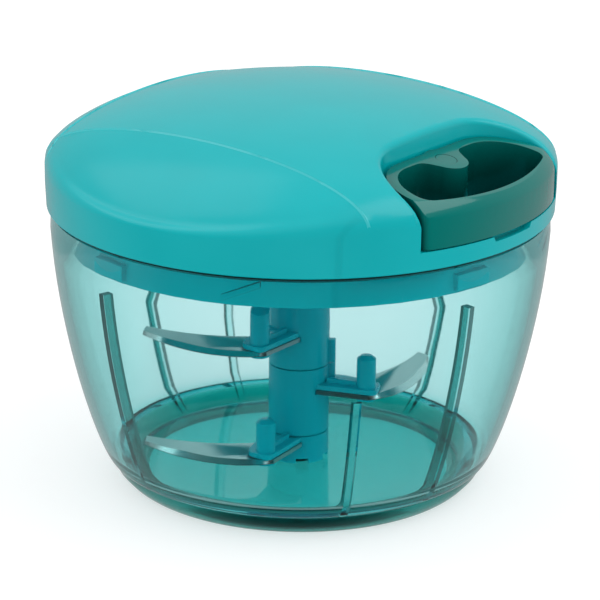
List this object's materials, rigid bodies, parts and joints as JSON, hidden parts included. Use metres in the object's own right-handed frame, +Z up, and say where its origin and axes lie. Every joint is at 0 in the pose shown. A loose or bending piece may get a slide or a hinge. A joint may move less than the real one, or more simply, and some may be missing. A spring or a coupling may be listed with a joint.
{
  "type": "food chopper",
  "caption": "Pull-cord food chopper: a clear round bowl with a turning blade column, under a domed lid that holds a recoil cord reel and a flush handle.",
  "frame": {"origin": "centre of the bowl's foot, on the table", "axes": "+Z up along the bowl's axis, +X towards the pull handle"},
  "size_m": [0.1229, 0.123, 0.0965],
  "materials": {
    "bowl_plastic": "clear tinted, gloss",
    "foot_plastic": "translucent, soft",
    "column_plastic": "moulded, gloss",
    "blade_steel": "ground, bright edge",
    "lid_plastic": "moulded, satin gloss",
    "lid_base_plastic": "moulded, satin",
    "handle_plastic": "moulded, gloss",
    "white_plastic": "moulded acetal",
    "grey_plastic": "moulded",
    "steel": "plain",
    "cord": "braided"
  },
  "bodies": {
    "bowl": {"bowl": "bowl_plastic", "foot_ring": "foot_plastic", "centre_pin": "steel"},
    "blades": {"carrier_lower": "column_plastic", "carrier_middle": "column_plastic", "carrier_upper": "column_plastic", "blade_lower": "blade_steel", "blade_middle": "blade_steel", "blade_upper": "blade_steel"},
    "lid": {"lid_cover": "lid_plastic", "lid_base": "lid_base_plastic", "lid_screw_1": "steel", "lid_screw_2": "steel", "lid_screw_3": "steel", "lid_screw_4": "steel", "shaft_bush": "white_plastic", "cord_guide": "steel", "reel_axle": "steel", "spring_arbor": "white_plastic", "recoil_spring": "steel", "pull_cord": "cord"},
    "handle": {"pull_handle": "handle_plastic", "cord_knot_plug": "handle_plastic"},
    "reel": {"cord_reel": "white_plastic", "cord_winding": "cord", "spring_cover": "grey_plastic", "clutch_pawl_1": "grey_plastic", "clutch_pawl_2": "grey_plastic"},
    "drive": {"drive_shaft": "handle_plastic", "ratchet_wheel": "white_plastic"}
  },
  "joints": [
    {"name": "blade_turn", "type": "hinge", "parent": "bowl", "child": "blades", "pos_m": [0, 0, 0.03], "axis": [0, 0, 1], "continuous": true},
    {"name": "lid_lift", "type": "slide", "parent": "bowl", "child": "lid", "axis": [0, 0, 1], "range_m": [0, 0.06]},
    {"name": "handle_pull", "type": "slide", "parent": "lid", "child": "handle", "axis": [1, 0, 0], "range_m": [0, 0.3], "stiffness_N_per_m": 20, "springref_m": -0.15, "deforming": ["pull_cord"]},
    {"name": "reel_turn", "type": "hinge", "parent": "lid", "child": "reel", "pos_m": [0, 0, 0.08], "axis": [0, 0, 1], "range_deg": [-5, 930]},
    {"name": "drive_turn", "type": "hinge", "parent": "lid", "child": "drive", "pos_m": [0, 0, 0.066], "axis": [0, 0, 1], "continuous": true}
  ],
  "couplings": [
    {"joint": "reel_turn", "follows": "handle_pull", "rad_per_m": 52.083},
    {"joint": "drive_turn", "follows": "handle_pull", "rad_per_m": 52.083},
    {"joint": "blade_turn", "follows": "handle_pull", "rad_per_m": 52.083}
  ]
}
